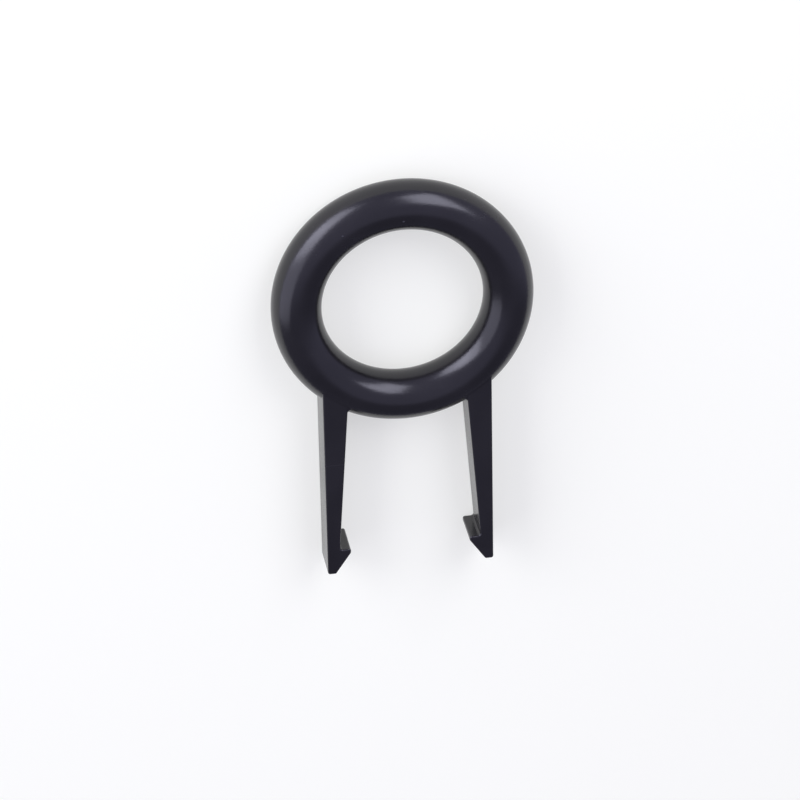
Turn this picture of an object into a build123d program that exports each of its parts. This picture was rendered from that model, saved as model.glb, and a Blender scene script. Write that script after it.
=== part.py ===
"""A moulded keycap puller: a round finger ring with two straight legs that end in inward hooks.

Frame: millimetres, +Z up. The puller lies flat on the underside of its ring. The ring's axis is along Z, the legs
point along -Y, X is across them, and the origin is under the middle of the whole length.
"""
import math
import os

from build123d import *

# Overall length, from the ring's crown to the legs' ends
OVERALL_LENGTH = 46.0

# Finger ring: radius of the round bar's centreline, and the bar's own radius
RING_RADIUS = 11.4
BAR_RADIUS = 2.7

# Legs: distance over their outer faces, how far their broad faces lie below the ring's,
# thickness where they join the bar's centreline and where they meet the hook
LEG_SPAN = 18.3
FACE_STEP = 0.4
ROOT_THICKNESS = 2.8
TIP_THICKNESS = 1.4

# Hook: height from leg end to catching ledge, reach of the ledge beyond the leg's inner face,
# height of the blunt nose under the ledge, and width of the flat end below the lead-in slope
HOOK_HEIGHT = 3.0
HOOK_REACH = 1.2
NOSE_HEIGHT = 0.5
END_WIDTH = 0.9

# Roundings: blend of the legs' broad faces into the bar, corner behind the ledge, corners of the leg ends
ROOT_BLEND = 0.8
LEDGE_FILLET = 0.3
END_ROUND = 0.25

# Places worked out from the sizes above
ring_y = OVERALL_LENGTH / 2 - RING_RADIUS - BAR_RADIUS
end_y = -OVERALL_LENGTH / 2
ledge_y = end_y + HOOK_HEIGHT
outer_x = LEG_SPAN / 2
leg_depth = 2 * (BAR_RADIUS - FACE_STEP)
mid_z = BAR_RADIUS


def finger_ring():
    """Round bar bent to a closed circle, with its seam on the side of the hole."""
    section = Plane.XZ * Pos(RING_RADIUS, 0) * Rot(0, 0, 180) * Circle(BAR_RADIUS)
    return Pos(0, ring_y, 0) * Rot(0, 0, 90) * revolve(section, Axis.Z)


def leg_profile():
    """Outline of the right leg seen along the ring's axis, with its top buried in the bar."""
    # the top edge is tangent to the bar's centreline at the middle of the leg's root
    root_x = outer_x - ROOT_THICKNESS / 2
    drop = math.sqrt(RING_RADIUS**2 - root_x**2)
    rise = ROOT_THICKNESS / 2 * root_x / drop
    inner_x = outer_x - TIP_THICKNESS
    nose_x = inner_x - HOOK_REACH
    outline = make_face(
        Polyline(
            (outer_x, ring_y - drop + rise),
            (outer_x, end_y),
            (outer_x - END_WIDTH, end_y),
            (nose_x, ledge_y - NOSE_HEIGHT),
            (nose_x, ledge_y),
            (inner_x, ledge_y),
            (outer_x - ROOT_THICKNESS, ring_y - drop - rise),
            close=True,
        )
    )
    end_corners = outline.vertices().group_by(Axis.Y)[0]
    outline = fillet(end_corners, END_ROUND)
    behind_ledge = outline.vertices().sort_by_distance((inner_x, ledge_y))[0]
    return fillet(behind_ledge, LEDGE_FILLET)


def legs():
    right = extrude(leg_profile(), amount=leg_depth / 2, both=True)
    return right + mirror(right, about=Plane.YZ)


def blend_broad_faces(puller, ring, pair):
    """Blend the legs' broad faces into the bar; their outer and inner faces meet it in a plain corner."""
    roots = new_edges(ring, pair, combined=puller)
    broad = roots.filter_by(lambda edge: abs(edge.center().Z) > leg_depth / 4)
    broad = broad.filter_by(lambda edge: abs(edge.center().X) < outer_x - ROOT_THICKNESS / 10)
    return fillet(broad, ROOT_BLEND)


def keycap_puller():
    ring = finger_ring()
    pair = legs()
    puller = blend_broad_faces(ring + pair, ring, pair)
    return Pos(0, 0, mid_z) * puller


os.makedirs("parts", exist_ok=True)
part = keycap_puller()
part.label = "keycap_puller"
export_step(part, "parts/keycap_puller.step")
print("volume", round(part.volume, 2), "box", part.bounding_box())
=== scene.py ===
"""Keycap puller in moulded black plastic: a finger ring with two hooked legs, on a pale floor.

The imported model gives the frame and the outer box. One smooth moulding is built to the same sizes,
with rounded edges and blended leg roots, and stands in for the faceted solid.
"""
import math

import bmesh
import bpy
from bpy.props import FloatProperty, FloatVectorProperty, PointerProperty
from mathutils import Matrix, Vector
from mathutils.geometry import delaunay_2d_cdt


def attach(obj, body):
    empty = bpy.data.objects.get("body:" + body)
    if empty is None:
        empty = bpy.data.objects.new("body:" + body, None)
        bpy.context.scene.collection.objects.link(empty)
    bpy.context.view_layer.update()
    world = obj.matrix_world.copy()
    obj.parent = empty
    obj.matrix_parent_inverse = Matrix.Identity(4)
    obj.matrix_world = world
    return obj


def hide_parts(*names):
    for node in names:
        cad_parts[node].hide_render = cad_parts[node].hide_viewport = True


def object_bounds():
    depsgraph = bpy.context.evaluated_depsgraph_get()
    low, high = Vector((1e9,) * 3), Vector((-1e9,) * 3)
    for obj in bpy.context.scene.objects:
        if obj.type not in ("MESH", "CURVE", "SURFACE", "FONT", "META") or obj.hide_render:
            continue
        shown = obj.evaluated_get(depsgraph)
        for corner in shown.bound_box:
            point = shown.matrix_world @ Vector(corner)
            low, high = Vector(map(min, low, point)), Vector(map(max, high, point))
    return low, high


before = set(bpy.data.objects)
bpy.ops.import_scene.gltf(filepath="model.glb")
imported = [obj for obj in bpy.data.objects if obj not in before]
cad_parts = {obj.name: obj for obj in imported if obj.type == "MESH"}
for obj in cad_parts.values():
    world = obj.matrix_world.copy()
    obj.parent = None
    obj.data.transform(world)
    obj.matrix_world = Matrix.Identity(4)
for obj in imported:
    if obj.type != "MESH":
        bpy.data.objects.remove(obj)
CAD_LOW, CAD_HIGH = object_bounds()

bl_info = {
    "name": "Keycap puller",
    "version": (1, 0, 0),
    "blender": (4, 5, 0),
    "location": "3D View > Sidebar > Puller",
    "description": "Builds a moulded keycap puller and the studio that it lies in",
    "category": "Object",
}

NODE = "keycap_puller"
BODY = "root"
EDGE_MASK = "rounded_edge"
SKIN_NORMAL = "skin_normal"
MM = 0.001

# Mesh fineness: steps round the ring and the bar, and along the parts of a leg
RING_STEPS = 256
BAR_STEPS = 96
WALL_STEPS = 22
FACE_STEPS = 12
EDGE_STEPS = 5
BLEND_STEPS = 8
SHAFT_STEPS = 24
CORNER_STEPS = 6
BISECTIONS = 60

# Window in the ring for a leg's foot, in steps of the ring's grid: its margin round the foot, and
# how near to the foot a point of the grid may stay
WINDOW_MARGIN = 1.5
FOOT_CLEARANCE = 0.5
# Metres within which two points are one
SAME_POINT = 1e-9
# Size under which a triangle is flat, as a share of the clearance squared
FLAT_SHARE = 0.001
# Share of a leg's length, from the root, over which the wear on its edges sets in
WEAR_START = 0.25

# Patterns in the plastic, in features to the metre, and the directions of the rubs in degrees
POLISH_SCALE = 150.0
SKIN_SCALE = 5000.0
FLOW_SCALE = 240.0
DUST_SCALE = 610.0
RUB_SCALE = (90.0, 2600.0, 2600.0)
RUB_TURNS = (35, -62)
# Spans of a pattern's values that are spread over a whole mask, and share of its cells without dust
NOISE_SPAN = (0.3, 0.7)
SHADE_SPAN = (0.35, 0.65)
RUB_PATCH_SPAN = (0.5, 0.62)
RUB_SPAN = (0.66, 0.74)
SPECK_SPAN = (0.10, 0.05)
CLEAN_CELLS = 0.9
# Shades of the plastic's colour, and how much of the worn shade and of the dust shows
DULL_SHADE = 0.86
PALE_SHADE = 1.16
WORN_SHADE = 1.9
RUB_SHARE = 0.25
EDGE_SHARE = 0.35
DUST_SHARE = 0.7
# Changes of the plastic's roughness
POLISH_ROUGHNESS = 0.03
SKIN_ROUGHNESS = 0.02
RUB_ROUGHNESS = 0.06
EDGE_ROUGHNESS = -0.04
DUST_ROUGHNESS = 0.4
# Heights of the plastic's relief, and its index of refraction
FLOW_RELIEF = 0.008 * MM
SKIN_RELIEF = 0.007 * MM
DUST_RELIEF = 0.02 * MM
PLASTIC_IOR = 1.5
# Colour sockets of a Mix node
MIX_FIRST = 6
MIX_SECOND = 7
MIX_RESULT = 2

# Camera: sensor in millimetres, and nearest and farthest distance that it sees
SENSOR_WIDTH = 36
CLIP_START = 0.01
CLIP_END = 10
# Watts that a square metre of soft lamp takes for a radiance of one
LAMP_WATTS = 4
# Lengthwise part of a direction in the room where its light starts to grow, and where it is full
ROOM_SPAN = (-0.55, -0.28)


class PullerSizes(bpy.types.PropertyGroup):
    """Sizes of the moulding, the same as in the solid model"""

    ring_radius: FloatProperty(
        name="Ring radius",
        description="Radius of the finger ring's centreline",
        default=11.4 * MM,
        unit="LENGTH",
    )
    bar_radius: FloatProperty(
        name="Bar radius",
        description="Radius of the round bar that the ring is made of",
        default=(CAD_HIGH.z - CAD_LOW.z) / 2,
        unit="LENGTH",
    )
    leg_span: FloatProperty(
        name="Leg span",
        description="Distance over the legs' outer faces",
        default=18.3 * MM,
        unit="LENGTH",
    )
    face_step: FloatProperty(
        name="Face step",
        description="How far the legs' broad faces lie below the ring's",
        default=0.4 * MM,
        unit="LENGTH",
    )
    root_thickness: FloatProperty(
        name="Root thickness",
        description="Thickness of a leg where it joins the bar's centreline",
        default=2.8 * MM,
        unit="LENGTH",
    )
    tip_thickness: FloatProperty(
        name="Tip thickness",
        description="Thickness of a leg just above its hook",
        default=1.4 * MM,
        unit="LENGTH",
    )
    hook_height: FloatProperty(
        name="Hook height",
        description="Height from the leg's end to the catching ledge",
        default=3.0 * MM,
        unit="LENGTH",
    )
    hook_reach: FloatProperty(
        name="Hook reach",
        description="Reach of the ledge beyond the leg's inner face",
        default=1.2 * MM,
        unit="LENGTH",
    )
    nose_height: FloatProperty(
        name="Nose height",
        description="Height of the hook's blunt nose under the ledge",
        default=0.5 * MM,
        unit="LENGTH",
    )
    end_width: FloatProperty(
        name="End width",
        description="Width of the flat end below the lead-in slope",
        default=0.9 * MM,
        unit="LENGTH",
    )
    edge_round: FloatProperty(
        name="Edge round",
        description="Rounding of the legs' long edges",
        default=0.18 * MM,
        unit="LENGTH",
    )
    corner_round: FloatProperty(
        name="Corner round",
        description="Rounding of the corners of a leg's end and hook nose",
        default=0.25 * MM,
        unit="LENGTH",
    )
    ledge_fillet: FloatProperty(
        name="Ledge fillet",
        description="Fillet in the corner behind the catching ledge",
        default=0.3 * MM,
        unit="LENGTH",
    )
    face_blend: FloatProperty(
        name="Face blend",
        description="Blend of the legs' broad faces into the bar",
        default=0.8 * MM,
        unit="LENGTH",
    )
    inner_blend: FloatProperty(
        name="Inner blend",
        description="Blend of the legs' inner faces into the bar",
        default=0.28 * MM,
        unit="LENGTH",
    )
    outer_blend: FloatProperty(
        name="Outer blend",
        description="Blend of the legs' outer faces into the bar, which is all but sharp",
        default=0.06 * MM,
        unit="LENGTH",
    )


class PlasticLook(bpy.types.PropertyGroup):
    """Finish of the moulded plastic"""

    colour: FloatVectorProperty(
        name="Colour",
        description="Colour of the plastic",
        subtype="COLOR",
        default=(0.0105, 0.0098, 0.0107),
        min=0,
        max=1,
    )
    roughness: FloatProperty(
        name="Roughness",
        description="Mean roughness of the moulded skin",
        default=0.22,
        min=0,
        max=1,
    )
    dust: FloatVectorProperty(
        name="Dust",
        description="Colour of the few dust specks",
        subtype="COLOR",
        default=(0.07, 0.07, 0.08),
        min=0,
        max=1,
    )


class StudioSettings(bpy.types.PropertyGroup):
    """Camera, lamps, room light and floor"""

    camera_place: FloatVectorProperty(
        name="Camera place",
        description="Where the camera stands",
        default=(-64.59 * MM, 234.29 * MM, 410.65 * MM),
        subtype="TRANSLATION",
    )
    camera_aim: FloatVectorProperty(
        name="Camera aim",
        description="Point in the middle of the picture",
        default=(-0.49 * MM, -3.28 * MM, 2.70 * MM),
        subtype="TRANSLATION",
    )
    camera_turn: FloatProperty(
        name="Camera turn",
        description="Turn of the picture about the line of sight, from legs straight down",
        default=math.radians(-1.19),
        subtype="ANGLE",
    )
    camera_lens: FloatProperty(
        name="Camera lens",
        description="Focal length in millimetres, on a 36 mm sensor",
        default=199.73,
    )
    lamp_distance: FloatProperty(
        name="Lamp distance",
        description="Distance of the soft lamps from the ring",
        default=0.6,
        unit="LENGTH",
    )
    lamp_colour: FloatVectorProperty(
        name="Lamp colour",
        description="Cool white of the soft lamps",
        subtype="COLOR",
        default=(0.84, 0.835, 1.0),
        min=0,
        max=1,
    )
    room_colour: FloatVectorProperty(
        name="Room colour",
        description="Colour of the dim light from the room",
        subtype="COLOR",
        default=(0.695, 0.68, 1.0),
        min=0,
        max=1,
    )
    room_light: FloatProperty(
        name="Room light",
        description="Strength of the light from the room",
        default=0.68,
        min=0,
    )
    room_shade: FloatProperty(
        name="Room shade",
        description="Strength of the room's light on the side that the legs point to",
        default=0.24,
        min=0,
    )
    floor_size: FloatProperty(
        name="Floor size",
        description="Side of the square floor",
        default=4.0,
        unit="LENGTH",
    )
    floor_colour: FloatVectorProperty(
        name="Floor colour",
        description="Colour of the matt floor, warm enough to look neutral in the cool light",
        subtype="COLOR",
        default=(0.48, 0.488, 0.39),
        min=0,
        max=1,
    )
    floor_lift: FloatProperty(
        name="Floor lift",
        description="Glow that brings the lit floor up to white where it is seen",
        default=0.53,
        min=0,
        max=1,
    )


def mix(start, end, share):
    """Value at a share of the way from start to end."""
    return start + (end - start) * share


class LegForm:
    """Places on the right leg, worked out from the puller's sizes, in the puller's own frame."""

    def __init__(self, sizes):
        self.sizes = sizes
        self.ring_y = CAD_HIGH.y - sizes.ring_radius - sizes.bar_radius
        self.middle_z = CAD_LOW.z + sizes.bar_radius
        self.end_y = CAD_LOW.y
        self.ledge_y = self.end_y + sizes.hook_height
        self.outer_x = sizes.leg_span / 2
        self.half_depth = sizes.bar_radius - sizes.face_step
        # the inner face runs straight from the bar's centreline to the ledge
        root_x = self.outer_x - sizes.root_thickness / 2
        drop = math.sqrt(sizes.ring_radius**2 - root_x**2)
        rise = sizes.root_thickness / 2 * root_x / drop
        self.inner_root = Vector((self.outer_x - sizes.root_thickness, self.ring_y - drop - rise))
        self.inner_tip = Vector((self.outer_x - sizes.tip_thickness, self.ledge_y))
        along = self.inner_tip - self.inner_root
        self.inner_slope = along.x / along.y

    def inner_x(self, y):
        return self.inner_tip.x + self.inner_slope * (y - self.inner_tip.y)

    def bar_centre(self, point):
        """Nearest point to a given one on the bar's centreline."""
        away = Vector((point.x, point.y - self.ring_y, 0)).normalized() * self.sizes.ring_radius
        return Vector((away.x, away.y + self.ring_y, self.middle_z))

    def bar_angles(self, point):
        """Angle round the ring and angle round the bar, which place a point on the ring."""
        centre = self.bar_centre(point)
        out = math.hypot(point.x, point.y - self.ring_y) - self.sizes.ring_radius
        round_ring = math.atan2(centre.y - self.ring_y, centre.x)
        round_bar = math.atan2(point.z - self.middle_z, out)
        return Vector((round_ring, round_bar))


class SectionPoint:
    """One point of a leg's rounded rectangular section, which may lie at any height of the leg."""

    def __init__(self, form, share, shift, z, normal_x, normal_z):
        self.form = form
        self.share = share
        self.shift = shift
        self.z = z
        lean = form.inner_slope * abs(normal_x) if normal_x < 0 else 0.0
        self.normal = Vector((normal_x, lean, normal_z)).normalized()
        self.edge = 2 * abs(normal_x * normal_z)
        side = form.sizes.outer_blend if normal_x > 0 else form.sizes.inner_blend
        self.blend = mix(side, form.sizes.face_blend, normal_z**2)

    def at(self, y):
        edge = self.form.sizes.edge_round
        x = mix(self.form.outer_x - edge, self.form.inner_x(y) + edge, self.share) + self.shift
        return Vector((x, y, self.form.middle_z + self.z))


def edge_arc():
    """Cosine and sine at each step over a rounded edge, from the side wall to the broad face."""
    angles = [math.pi / 2 * step / EDGE_STEPS for step in range(1, EDGE_STEPS)]
    return [(math.cos(angle), math.sin(angle)) for angle in angles]


def leg_section(form):
    """The section in eight runs, in order round the leg: side walls, broad faces, rounded edges."""
    edge = form.sizes.edge_round
    wall = form.half_depth - edge
    arc = edge_arc()
    heights = [mix(-wall, wall, step / WALL_STEPS) for step in range(WALL_STEPS + 1)]
    shares = [step / FACE_STEPS for step in range(FACE_STEPS + 1)]

    def rounded(share, side, face):
        points = []
        for c, s in arc:
            z = face * (wall + edge * s)
            points.append(SectionPoint(form, share, side * edge * c, z, side * c, face * s))
        return points

    outer_wall = [SectionPoint(form, 0, edge, z, 1, 0) for z in heights]
    front_face = [SectionPoint(form, share, 0, form.half_depth, 0, 1) for share in shares]
    inner_wall = [SectionPoint(form, 1, -edge, -z, -1, 0) for z in heights]
    back_face = [SectionPoint(form, 1 - share, 0, -form.half_depth, 0, -1) for share in shares]
    return [
        outer_wall,
        rounded(0, 1, 1),
        front_face,
        rounded(1, -1, 1)[::-1],
        inner_wall,
        rounded(1, -1, -1),
        back_face,
        rounded(0, 1, -1)[::-1],
    ]


def rolling_ball(form, point):
    """Arc under a ball that touches the leg at a section point and the bar: points with normals."""
    radius = point.blend
    # the touching point is sought from well below the bar up to the bar's centreline
    reach = form.sizes.ring_radius + form.sizes.bar_radius
    low = form.ring_y - reach - 3 * form.sizes.face_blend
    start = point.at(form.ring_y)
    high = form.ring_y - math.sqrt(max(form.sizes.ring_radius**2 - start.x**2, 0))
    for _ in range(BISECTIONS):
        height = (low + high) / 2
        ball = point.at(height) + point.normal * radius
        gap = (ball - form.bar_centre(ball)).length - form.sizes.bar_radius - radius
        if gap > 0:
            low = height
        else:
            high = height
    to_leg = -point.normal
    to_bar = (form.bar_centre(ball) - ball).normalized()
    sweep = to_leg.angle(to_bar)
    arc = []
    for step in range(BLEND_STEPS + 1):
        share = step / BLEND_STEPS
        spoke = to_leg * math.sin((1 - share) * sweep) + to_bar * math.sin(share * sweep)
        spoke.normalize()
        arc.append((ball + spoke * radius, -spoke))
    return arc


def rounded_outline(corners, radii):
    """Outline with rounded corners: points with outward normals, and the solid on the right."""
    outline = []
    for before, corner, after, radius in zip(corners, corners[1:], corners[2:], radii):
        way_in = (corner - before).normalized()
        way_out = (after - corner).normalized()
        turn = math.atan2(way_in.cross(way_out), way_in.dot(way_out))
        normal_in = Vector((-way_in.y, way_in.x))
        bend = math.copysign(1, turn)
        start = corner - way_in * radius * math.tan(abs(turn) / 2)
        centre = start + normal_in * radius * bend
        for step in range(CORNER_STEPS + 1):
            normal = Matrix.Rotation(turn * step / CORNER_STEPS, 2) @ normal_in
            outline.append((centre - normal * radius * bend, normal))
    return outline


def hook_outline(form):
    """Outline of the leg's end, from its outer face round the hook to its inner face."""
    sizes = form.sizes
    nose_x = form.inner_tip.x - sizes.hook_reach
    corners = [
        Vector((form.outer_x, form.ledge_y)),
        Vector((form.outer_x, form.end_y)),
        Vector((form.outer_x - sizes.end_width, form.end_y)),
        Vector((nose_x, form.ledge_y - sizes.nose_height)),
        Vector((nose_x, form.ledge_y)),
        form.inner_tip,
        form.inner_root,
    ]
    radii = [sizes.corner_round] * 4 + [sizes.ledge_fillet]
    return rounded_outline(corners, radii)


def ring_tree(material):
    """Geometry nodes for the plain ring: a round bar swept along a circle."""
    tree = bpy.data.node_groups.new("Finger ring", "GeometryNodeTree")
    for name, kind in (
        ("Ring Radius", "NodeSocketFloat"),
        ("Bar Radius", "NodeSocketFloat"),
        ("Ring Steps", "NodeSocketInt"),
        ("Bar Steps", "NodeSocketInt"),
        ("Centre", "NodeSocketVector"),
    ):
        tree.interface.new_socket(name, in_out="INPUT", socket_type=kind)
    tree.interface.new_socket("Ring", in_out="OUTPUT", socket_type="NodeSocketGeometry")
    new, link = tree.nodes.new, tree.links.new
    sizes = new("NodeGroupInput")
    path = new("GeometryNodeCurvePrimitiveCircle")
    bar = new("GeometryNodeCurvePrimitiveCircle")
    sweep = new("GeometryNodeCurveToMesh")
    place = new("GeometryNodeTransform")
    realize = new("GeometryNodeRealizeInstances")
    finish = new("GeometryNodeSetMaterial")
    finish.inputs["Material"].default_value = material
    out = new("NodeGroupOutput")
    link(sizes.outputs["Ring Radius"], path.inputs["Radius"])
    link(sizes.outputs["Ring Steps"], path.inputs["Resolution"])
    link(sizes.outputs["Bar Radius"], bar.inputs["Radius"])
    link(sizes.outputs["Bar Steps"], bar.inputs["Resolution"])
    link(path.outputs["Curve"], sweep.inputs["Curve"])
    link(bar.outputs["Curve"], sweep.inputs["Profile Curve"])
    link(sweep.outputs["Mesh"], place.inputs["Geometry"])
    link(sizes.outputs["Centre"], place.inputs["Translation"])
    link(place.outputs["Geometry"], realize.inputs["Geometry"])
    link(realize.outputs["Geometry"], finish.inputs["Geometry"])
    link(finish.outputs["Geometry"], out.inputs["Ring"])
    return tree


def evaluated_mesh(piece):
    """The piece's mesh with its modifiers applied."""
    bpy.context.view_layer.update()
    graph = bpy.context.evaluated_depsgraph_get()
    return bpy.data.meshes.new_from_object(piece.evaluated_get(graph), depsgraph=graph)


def swap_mesh(piece, mesh):
    """Gives the piece a finished mesh in place of its modifiers."""
    old = piece.data
    piece.modifiers.clear()
    piece.data = mesh
    bpy.data.meshes.remove(old)


def plain_ring(piece, form, material):
    """Makes the piece a whole ring by its node tree."""
    tree = ring_tree(material)
    modifier = piece.modifiers.new("Finger ring", "NODES")
    modifier.node_group = tree
    values = {
        "Ring Radius": form.sizes.ring_radius,
        "Bar Radius": form.sizes.bar_radius,
        "Ring Steps": RING_STEPS,
        "Bar Steps": BAR_STEPS,
        "Centre": (0.0, form.ring_y, form.middle_z),
    }
    for socket in tree.interface.items_tree:
        if socket.in_out == "INPUT":
            modifier[socket.identifier] = values[socket.name]
    swap_mesh(piece, evaluated_mesh(piece))


def inside(loop, spot):
    """True if a spot lies inside a closed loop of flat points."""
    crossings = 0
    for a, b in zip(loop, loop[1:] + loop[:1]):
        if (a.y > spot.y) != (b.y > spot.y):
            crossings += spot.x < mix(a.x, b.x, (spot.y - a.y) / (b.y - a.y))
    return crossings % 2 == 1


def open_window(mesh, form, foot):
    """Opens the ring round a leg's foot; gives the window's edges and the points left in it."""
    step = (2 * math.pi / RING_STEPS, 2 * math.pi / BAR_STEPS)
    low = [min(spot[k] for spot in foot) - WINDOW_MARGIN * step[k] for k in (0, 1)]
    high = [max(spot[k] for spot in foot) + WINDOW_MARGIN * step[k] for k in (0, 1)]

    def covered(point):
        spot = form.bar_angles(point)
        return all(low[k] < spot[k] < high[k] for k in (0, 1))

    gone = [face for face in mesh.faces if covered(face.calc_center_median())]
    corners = sorted({vert for face in gone for vert in face.verts}, key=lambda vert: vert.index)
    bmesh.ops.delete(mesh, geom=gone, context="FACES_ONLY")
    for edge in {edge for vert in corners for edge in vert.link_edges}:
        if not edge.link_faces:
            mesh.edges.remove(edge)
    rim = {edge for vert in corners for edge in vert.link_edges if edge.is_boundary}
    free = [vert for vert in corners if not vert.link_edges]
    return sorted(rim, key=lambda edge: [vert.index for vert in edge.verts]), free


def close_window(mesh, form, foot_verts, foot, rim, free):
    """Meshes the ring's surface between the plain grid and a leg's foot, all on the bar itself."""
    stretch = Vector((form.sizes.ring_radius, form.sizes.bar_radius))
    flat = [angles * stretch for angles in foot]
    clear = FOOT_CLEARANCE * stretch.y * 2 * math.pi / BAR_STEPS
    verts = list(foot_verts)
    spots = list(flat)
    for vert in sorted({vert for edge in rim for vert in edge.verts}, key=lambda vert: vert.index):
        verts.append(vert)
        spots.append(form.bar_angles(vert.co) * stretch)
    for vert in free:
        spot = form.bar_angles(vert.co) * stretch
        if not inside(flat, spot) and min((spot - other).length for other in flat) > clear:
            verts.append(vert)
            spots.append(spot)
        else:
            mesh.verts.remove(vert)
    index = {vert: k for k, vert in enumerate(verts)}
    count = len(foot)
    edges = [(k, (k + 1) % count) for k in range(count)]
    edges += [(index[edge.verts[0]], index[edge.verts[1]]) for edge in rim]
    _, _, triangles, origins, _, _ = delaunay_2d_cdt(spots, edges, [], 0, SAME_POINT)
    rim_spots = {k for edge in edges[count:] for k in edge}
    for triangle in triangles:
        corners = [origins[k][0] for k in triangle]
        a, b, c = (spots[k] for k in corners)
        area = abs((b - a).cross(c - a))
        sliver = rim_spots.issuperset(corners) and area < FLAT_SHARE * clear**2
        if not sliver and not inside(flat, (a + b + c) / 3):
            mesh.faces.new([verts[k] for k in corners])


def bridge(mesh, first, second, closed):
    """Quads between two rows of as many points."""
    count = len(first)
    for k in range(count if closed else count - 1):
        n = (k + 1) % count
        mesh.faces.new((first[k], first[n], second[n], second[k]))


class SkinLayers:
    """What each point of the mesh carries: its exact normal, and how worn its rounded edge is."""

    def __init__(self, mesh):
        mesh.verts.layers.float_vector.new(SKIN_NORMAL)
        mesh.verts.layers.float.new(EDGE_MASK)
        # both are made before either is looked up, because a new layer moves the others
        self.normal = mesh.verts.layers.float_vector[SKIN_NORMAL]
        self.edge = mesh.verts.layers.float[EDGE_MASK]


def add_leg(mesh, layers, form, side):
    """Adds one leg, blended into the ring; side is 1 for the right leg and -1 for the left."""

    def new_vert(point, normal, edge=0.0):
        vert = mesh.verts.new((point.x * side, point.y, point.z))
        vert[layers.normal] = (normal.x * side, normal.y, normal.z)
        vert[layers.edge] = edge
        return vert

    runs = leg_section(form)
    section = [point for run in runs for point in run]
    arcs = [rolling_ball(form, point) for point in section]
    mirror = Vector((side, 1, 1))
    foot = [form.bar_angles(arc[-1][0] * mirror) for arc in arcs]
    rim, free = open_window(mesh, form, foot)
    rows = [[new_vert(*arc[step]) for arc in arcs] for step in range(BLEND_STEPS, -1, -1)]
    outline = hook_outline(form)
    hook_y = outline[-1][0].y
    for step in range(1, SHAFT_STEPS + 1):
        share = step / SHAFT_STEPS
        wear = min(1, share / WEAR_START)
        row = []
        for point, arc in zip(section, arcs):
            place = point.at(mix(arc[0][0].y, hook_y, share))
            row.append(new_vert(place, point.normal, point.edge * wear))
        rows.append(row)
    for upper, lower in zip(rows, rows[1:]):
        bridge(mesh, upper, lower, closed=True)
    add_hook(mesh, form, runs, rows[-1], outline, new_vert)
    close_window(mesh, form, rows[0], foot, rim, free)


def add_hook(mesh, form, runs, last_row, outline, new_vert):
    """Closes a leg's end with its hook: a rim that follows the outline, and two broad faces."""
    starts = [sum(len(run) for run in runs[:k]) for k in range(len(runs))]
    rows = [last_row[start : start + len(run)] for start, run in zip(starts, runs)]
    outer_wall, outer_front, front, inner_front, inner_wall, inner_back, back, outer_back = rows
    first = [front[0]] + outer_front[::-1] + outer_wall[::-1] + outer_back[::-1] + [back[-1]]
    last = [front[-1]] + inner_front + inner_wall + inner_back + [back[0]]
    edge = form.sizes.edge_round
    wall = form.half_depth - edge
    arc = edge_arc()
    rim = [(edge, form.half_depth, 0, 1)]
    rim += [(edge * (1 - c), wall + edge * s, c, s) for c, s in arc[::-1]]
    rim += [(0, mix(wall, -wall, step / WALL_STEPS), 1, 0) for step in range(WALL_STEPS + 1)]
    rim += [(edge * (1 - c), -wall - edge * s, c, -s) for c, s in arc]
    rim += [(edge, -form.half_depth, 0, -1)]
    columns = [first]
    for spot, out in outline[:-1]:
        column = []
        for inset, z, c, s in rim:
            place = Vector((spot.x - out.x * inset, spot.y - out.y * inset, form.middle_z + z))
            column.append(new_vert(place, Vector((out.x * c, out.y * c, s)), 2 * abs(c * s)))
        columns.append(column)
    columns.append(last)
    for left, right in zip(columns, columns[1:]):
        bridge(mesh, left, right, closed=False)
    for face, step in ((front, 0), (back[::-1], -1)):
        mesh.faces.new(face + [column[step] for column in columns[-2:0:-1]])


def moulding_mesh(piece, form):
    """Adds both legs to the piece's plain ring and closes it into one smooth skin."""
    mesh = bmesh.new()
    mesh.from_mesh(piece.data)
    layers = SkinLayers(mesh)
    for vert in mesh.verts:
        vert[layers.normal] = (vert.co - form.bar_centre(vert.co)).normalized()
    for side in (1, -1):
        mesh.verts.index_update()
        add_leg(mesh, layers, form, side)
    bmesh.ops.recalc_face_normals(mesh, faces=mesh.faces)
    for face in mesh.faces:
        face.smooth = True
    mesh.to_mesh(piece.data)
    mesh.free()
    exact = piece.data.attributes[SKIN_NORMAL]
    piece.data.normals_split_custom_set_from_vertices([spot.vector for spot in exact.data])
    piece.data.attributes.remove(piece.data.attributes[SKIN_NORMAL])


class PULLER_OT_moulding(bpy.types.Operator):
    """Build the puller's one moulded piece"""

    bl_idname = "puller.moulding"
    bl_label = "Moulded puller"

    def execute(self, context):
        scene = context.scene
        form = LegForm(scene.puller_sizes)
        material = black_plastic(scene.plastic_look)
        piece = bpy.data.objects.new("puller_moulding", bpy.data.meshes.new("puller_moulding"))
        scene.collection.objects.link(piece)
        plain_ring(piece, form, material)
        moulding_mesh(piece, form)
        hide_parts(NODE)
        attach(piece, BODY)
        return {"FINISHED"}


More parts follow.
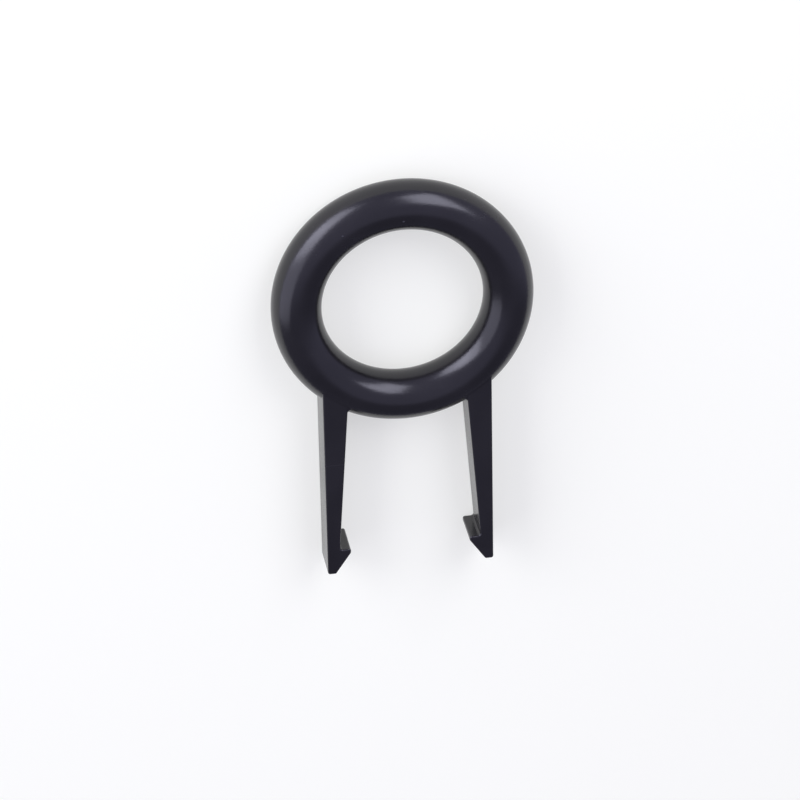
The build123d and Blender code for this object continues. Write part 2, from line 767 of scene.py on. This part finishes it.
class NodeBench:
    """Short ways to add nodes to the shader tree of a material or of the room."""

    def __init__(self, tree):
        self.nodes = tree.nodes
        self.links = tree.links

    def plug(self, socket, value):
        """Gives a socket a number, a colour or the output of another node."""
        if isinstance(value, bpy.types.NodeSocket):
            self.links.new(value, socket)
        else:
            socket.default_value = value

    def add(self, kind, output, settings=None, **values):
        """New node with settings, and values for the inputs that they name; gives one output."""
        node = self.nodes.new(kind)
        for name, setting in (settings or {}).items():
            setattr(node, name, setting)
        for name, value in values.items():
            self.plug(node.inputs[name.replace("_", " ")], value)
        return node.outputs[output]

    def maths(self, operation, first, second):
        """Sum, product or other result of two values."""
        node = self.nodes.new("ShaderNodeMath")
        node.operation = operation
        self.plug(node.inputs[0], first)
        self.plug(node.inputs[1], second)
        return node.outputs[0]

    def noise(self, place, scale, detail):
        """Soft random pattern."""
        return self.add("ShaderNodeTexNoise", "Fac", Vector=place, Scale=scale, Detail=detail)

    def ramp(self, value, low, high, start=0.0, end=1.0):
        """Value spread from low..high to start..end and held there."""
        return self.add(
            "ShaderNodeMapRange",
            "Result",
            Value=value,
            From_Min=low,
            From_Max=high,
            To_Min=start,
            To_Max=end,
        )

    def mix_colour(self, share, first, second):
        """Colour at a share of the way from the first to the second."""
        node = self.nodes.new("ShaderNodeMix")
        node.data_type = "RGBA"
        self.plug(node.inputs["Factor"], share)
        self.plug(node.inputs[MIX_FIRST], first)
        self.plug(node.inputs[MIX_SECOND], second)
        return node.outputs[MIX_RESULT]


def scuffs(bench, place, turn, patches):
    """Short hairline rubs in one direction, in patches only."""
    turned = (0.0, 0.0, math.radians(turn))
    laid = bench.add("ShaderNodeMapping", "Vector", Vector=place, Rotation=turned, Scale=RUB_SCALE)
    streaks = bench.noise(laid, scale=1.0, detail=1.0)
    return bench.maths("MULTIPLY", bench.ramp(streaks, *RUB_SPAN), patches)


def dust(bench, place):
    """A few pale specks about a tenth of a millimetre wide."""
    distance = bench.add("ShaderNodeTexVoronoi", "Distance", Vector=place, Scale=DUST_SCALE)
    near = bench.ramp(distance, *SPECK_SPAN)
    cell = bench.add("ShaderNodeSeparateColor", "Red", Color=distance.node.outputs["Color"])
    return bench.maths("MULTIPLY", near, bench.maths("GREATER_THAN", cell, CLEAN_CELLS))


def shade(colour, factor):
    """Darker or paler shade of a colour."""
    return [part * factor for part in colour] + [1]


def black_plastic(look):
    """Semi-gloss black plastic with a fine moulded skin, polished in patches by handling.

    Hairline rubs, worn edges and a little dust lie over it.
    """
    material = bpy.data.materials.new("moulded_black_plastic")
    material.use_nodes = True
    bench = NodeBench(material.node_tree)
    shader = bench.nodes["Principled BSDF"]
    place = bench.add("ShaderNodeTexCoord", "Object")
    polish = bench.noise(place, POLISH_SCALE, detail=3.0)
    skin = bench.noise(place, SKIN_SCALE, detail=2.0)
    flow = bench.noise(place, FLOW_SCALE, detail=1.0)
    edges = bench.add("ShaderNodeAttribute", "Fac", {"attribute_name": EDGE_MASK})
    patches = bench.ramp(polish, *RUB_PATCH_SPAN)
    rubs = bench.maths("MAXIMUM", *(scuffs(bench, place, turn, patches) for turn in RUB_TURNS))
    specks = dust(bench, place)

    dull, pale, worn = (shade(look.colour, by) for by in (DULL_SHADE, PALE_SHADE, WORN_SHADE))
    colour = bench.mix_colour(bench.ramp(polish, *SHADE_SPAN), dull, pale)
    colour = bench.mix_colour(bench.maths("MULTIPLY", rubs, RUB_SHARE), colour, worn)
    colour = bench.mix_colour(bench.maths("MULTIPLY", edges, EDGE_SHARE), colour, worn)
    colour = bench.mix_colour(bench.maths("MULTIPLY", specks, DUST_SHARE), colour, (*look.dust, 1))
    bench.plug(shader.inputs["Base Color"], colour)

    least, most = look.roughness - POLISH_ROUGHNESS, look.roughness + POLISH_ROUGHNESS
    rough = bench.ramp(polish, *NOISE_SPAN, least, most)
    fine = bench.ramp(skin, *NOISE_SPAN, -SKIN_ROUGHNESS, SKIN_ROUGHNESS)
    rough = bench.maths("ADD", rough, fine)
    for mask, change in ((rubs, RUB_ROUGHNESS), (specks, DUST_ROUGHNESS), (edges, EDGE_ROUGHNESS)):
        rough = bench.maths("ADD", rough, bench.maths("MULTIPLY", mask, change))
    bench.plug(shader.inputs["Roughness"], rough)

    relief = bench.add("ShaderNodeBump", "Normal", Height=flow, Distance=FLOW_RELIEF)
    for height, depth in ((skin, SKIN_RELIEF), (specks, DUST_RELIEF)):
        relief = bench.add("ShaderNodeBump", "Normal", Height=height, Distance=depth, Normal=relief)
    bench.plug(shader.inputs["Normal"], relief)
    bench.plug(shader.inputs["IOR"], PLASTIC_IOR)
    return material


def level_way(azimuth):
    """Level direction from the puller, as if it were held upright, legs down, before a viewer.

    The azimuth is in degrees from straight towards the viewer to the viewer's right.
    """
    angle = math.radians(azimuth)
    return Vector((math.sin(angle), 0, math.cos(angle)))


def soft_lamp(name, ring, studio, centre, across, along, radiance):
    """Soft rectangular lamp that shines away from across x along.

    Its middle, as seen from the ring, and its full sides are given in lamp distances.
    """
    across = across * studio.lamp_distance
    along = along * studio.lamp_distance
    light = bpy.data.lights.new(name, "AREA")
    light.shape = "RECTANGLE"
    light.size = across.length
    light.size_y = along.length
    light.energy = LAMP_WATTS * radiance * light.size * light.size_y
    light.color = studio.lamp_colour
    lamp = bpy.data.objects.new(name, light)
    bpy.context.scene.collection.objects.link(lamp)
    right = across.normalized()
    back = across.cross(along).normalized()
    axes = Matrix((right, back.cross(right), back)).transposed()
    lamp.matrix_world = Matrix.Translation(ring + centre * studio.lamp_distance) @ axes.to_4x4()
    lamp.visible_camera = False


def left_panel(name, ring, studio, middle, spread, low, high, radiance):
    """Panel on the left, upright along the puller, by the degrees that it fills from the ring."""
    bottom, top = math.tan(math.radians(low)), math.tan(math.radians(high))
    centre = level_way(middle) + Vector((0, (bottom + top) / 2, 0))
    across = level_way(middle + 90) * 2 * math.tan(math.radians(spread / 2))
    along = Vector((0, top - bottom, 0))
    soft_lamp(name, ring, studio, centre, across, along, radiance)


def left_lamps(ring, studio):
    """Tall panel with a brighter core, and under it a weak one that lifts the ring's left side."""
    left_panel("left_lamp", ring, studio, middle=-63, spread=41, low=11, high=58, radiance=3.75)
    left_panel("left_core", ring, studio, middle=-67, spread=34, low=25, high=42, radiance=1.2)
    left_panel("left_fill", ring, studio, middle=-63, spread=50, low=-30, high=11, radiance=1.0)


def right_lamp(ring, studio):
    """Leaning panel above and to the right."""
    centre = Vector((0.325, 0.626, 0.497))
    across = Vector((0.293, -0.123, -0.341))
    along = Vector((-0.081, 0.549, -0.304))
    soft_lamp("right_lamp", ring, studio, centre, across, along, radiance=3.8)


def aim_camera(studio):
    """Camera above the lying puller, which sees it as if it stood upright."""
    camera = bpy.data.cameras.new("camera")
    camera.sensor_width = SENSOR_WIDTH
    camera.lens = studio.camera_lens
    camera.clip_start = CLIP_START
    camera.clip_end = CLIP_END
    holder = bpy.data.objects.new("camera", camera)
    bpy.context.scene.collection.objects.link(holder)
    place = Vector(studio.camera_place)
    back = (place - Vector(studio.camera_aim)).normalized()
    right = Vector((0, 1, 0)).cross(back).normalized()
    up = back.cross(right)
    axes = Matrix((right, up, back)).transposed() @ Matrix.Rotation(studio.camera_turn, 3, "Z")
    holder.matrix_world = Matrix.Translation(place) @ axes.to_4x4()
    bpy.context.scene.camera = holder


def pale_floor(studio):
    """Wide matt floor, lifted to white where it is seen straight, in gloss or through glass.

    The lift is the same all over, so the puller's shadow stays.
    """
    mesh = bpy.data.meshes.new("floor")
    half = studio.floor_size / 2
    corners = [(-half, -half, 0), (half, -half, 0), (half, half, 0), (-half, half, 0)]
    mesh.from_pydata(corners, [], [(0, 1, 2, 3)])
    floor = bpy.data.objects.new("floor", mesh)
    bpy.context.scene.collection.objects.link(floor)
    material = bpy.data.materials.new("pale_floor")
    material.use_nodes = True
    bench = NodeBench(material.node_tree)
    bench.nodes.clear()
    ray = bench.nodes.new("ShaderNodeLightPath").outputs
    seen = bench.maths("MAXIMUM", ray["Is Camera Ray"], ray["Is Glossy Ray"])
    seen = bench.maths("MAXIMUM", seen, ray["Is Transmission Ray"])
    strength = bench.maths("MULTIPLY", seen, studio.floor_lift)
    both = bench.nodes.new("ShaderNodeAddShader")
    matt = bench.add("ShaderNodeBsdfDiffuse", "BSDF", Color=(*studio.floor_colour, 1))
    bench.plug(both.inputs[0], matt)
    bench.plug(both.inputs[1], bench.add("ShaderNodeEmission", "Emission", Strength=strength))
    out = bench.nodes.new("ShaderNodeOutputMaterial")
    bench.plug(out.inputs["Surface"], both.outputs["Shader"])
    mesh.materials.append(material)


def dim_room(studio):
    """Dim cool room light, weaker from the side that the legs point to."""
    world = bpy.data.worlds.new("room")
    world.use_nodes = True
    bench = NodeBench(world.node_tree)
    way = bench.add("ShaderNodeTexCoord", "Generated")
    along = bench.add("ShaderNodeSeparateXYZ", "Y", Vector=way)
    level = bench.ramp(along, *ROOM_SPAN, studio.room_shade, studio.room_light)
    level.node.interpolation_type = "SMOOTHSTEP"
    background = bench.nodes["Background"]
    bench.plug(background.inputs["Color"], (*studio.room_colour, 1))
    bench.plug(background.inputs["Strength"], level)
    bpy.context.scene.world = world


class PULLER_OT_studio(bpy.types.Operator):
    """Build the floor, the lamps, the room light and the camera"""

    bl_idname = "puller.studio"
    bl_label = "Studio"

    def execute(self, context):
        scene = context.scene
        studio = scene.puller_studio
        form = LegForm(scene.puller_sizes)
        ring = Vector((0, form.ring_y, form.middle_z))
        scene.view_settings.view_transform = "Standard"
        pale_floor(studio)
        dim_room(studio)
        left_lamps(ring, studio)
        right_lamp(ring, studio)
        aim_camera(studio)
        return {"FINISHED"}


class PULLER_PT_panel(bpy.types.Panel):
    """Sizes, finish and studio of the keycap puller"""

    bl_label = "Keycap puller"
    bl_idname = "PULLER_PT_panel"
    bl_space_type = "VIEW_3D"
    bl_region_type = "UI"
    bl_category = "Puller"

    def draw(self, context):
        layout = self.layout
        scene = context.scene
        for group in (scene.puller_sizes, scene.plastic_look, scene.puller_studio):
            box = layout.box()
            for name in group.__annotations__:
                box.prop(group, name)
        for operator in (PULLER_OT_moulding, PULLER_OT_studio):
            layout.operator(operator.bl_idname)


CLASSES = (
    PullerSizes,
    PlasticLook,
    StudioSettings,
    PULLER_OT_moulding,
    PULLER_OT_studio,
    PULLER_PT_panel,
)


def register():
    for cls in CLASSES:
        bpy.utils.register_class(cls)
    bpy.types.Scene.puller_sizes = PointerProperty(type=PullerSizes)
    bpy.types.Scene.plastic_look = PointerProperty(type=PlasticLook)
    bpy.types.Scene.puller_studio = PointerProperty(type=StudioSettings)


def unregister():
    del bpy.types.Scene.puller_studio
    del bpy.types.Scene.plastic_look
    del bpy.types.Scene.puller_sizes
    for cls in reversed(CLASSES):
        bpy.utils.unregister_class(cls)


def main():
    register()
    bpy.ops.puller.moulding()
    bpy.ops.puller.studio()


if __name__ == "__main__":
    main()
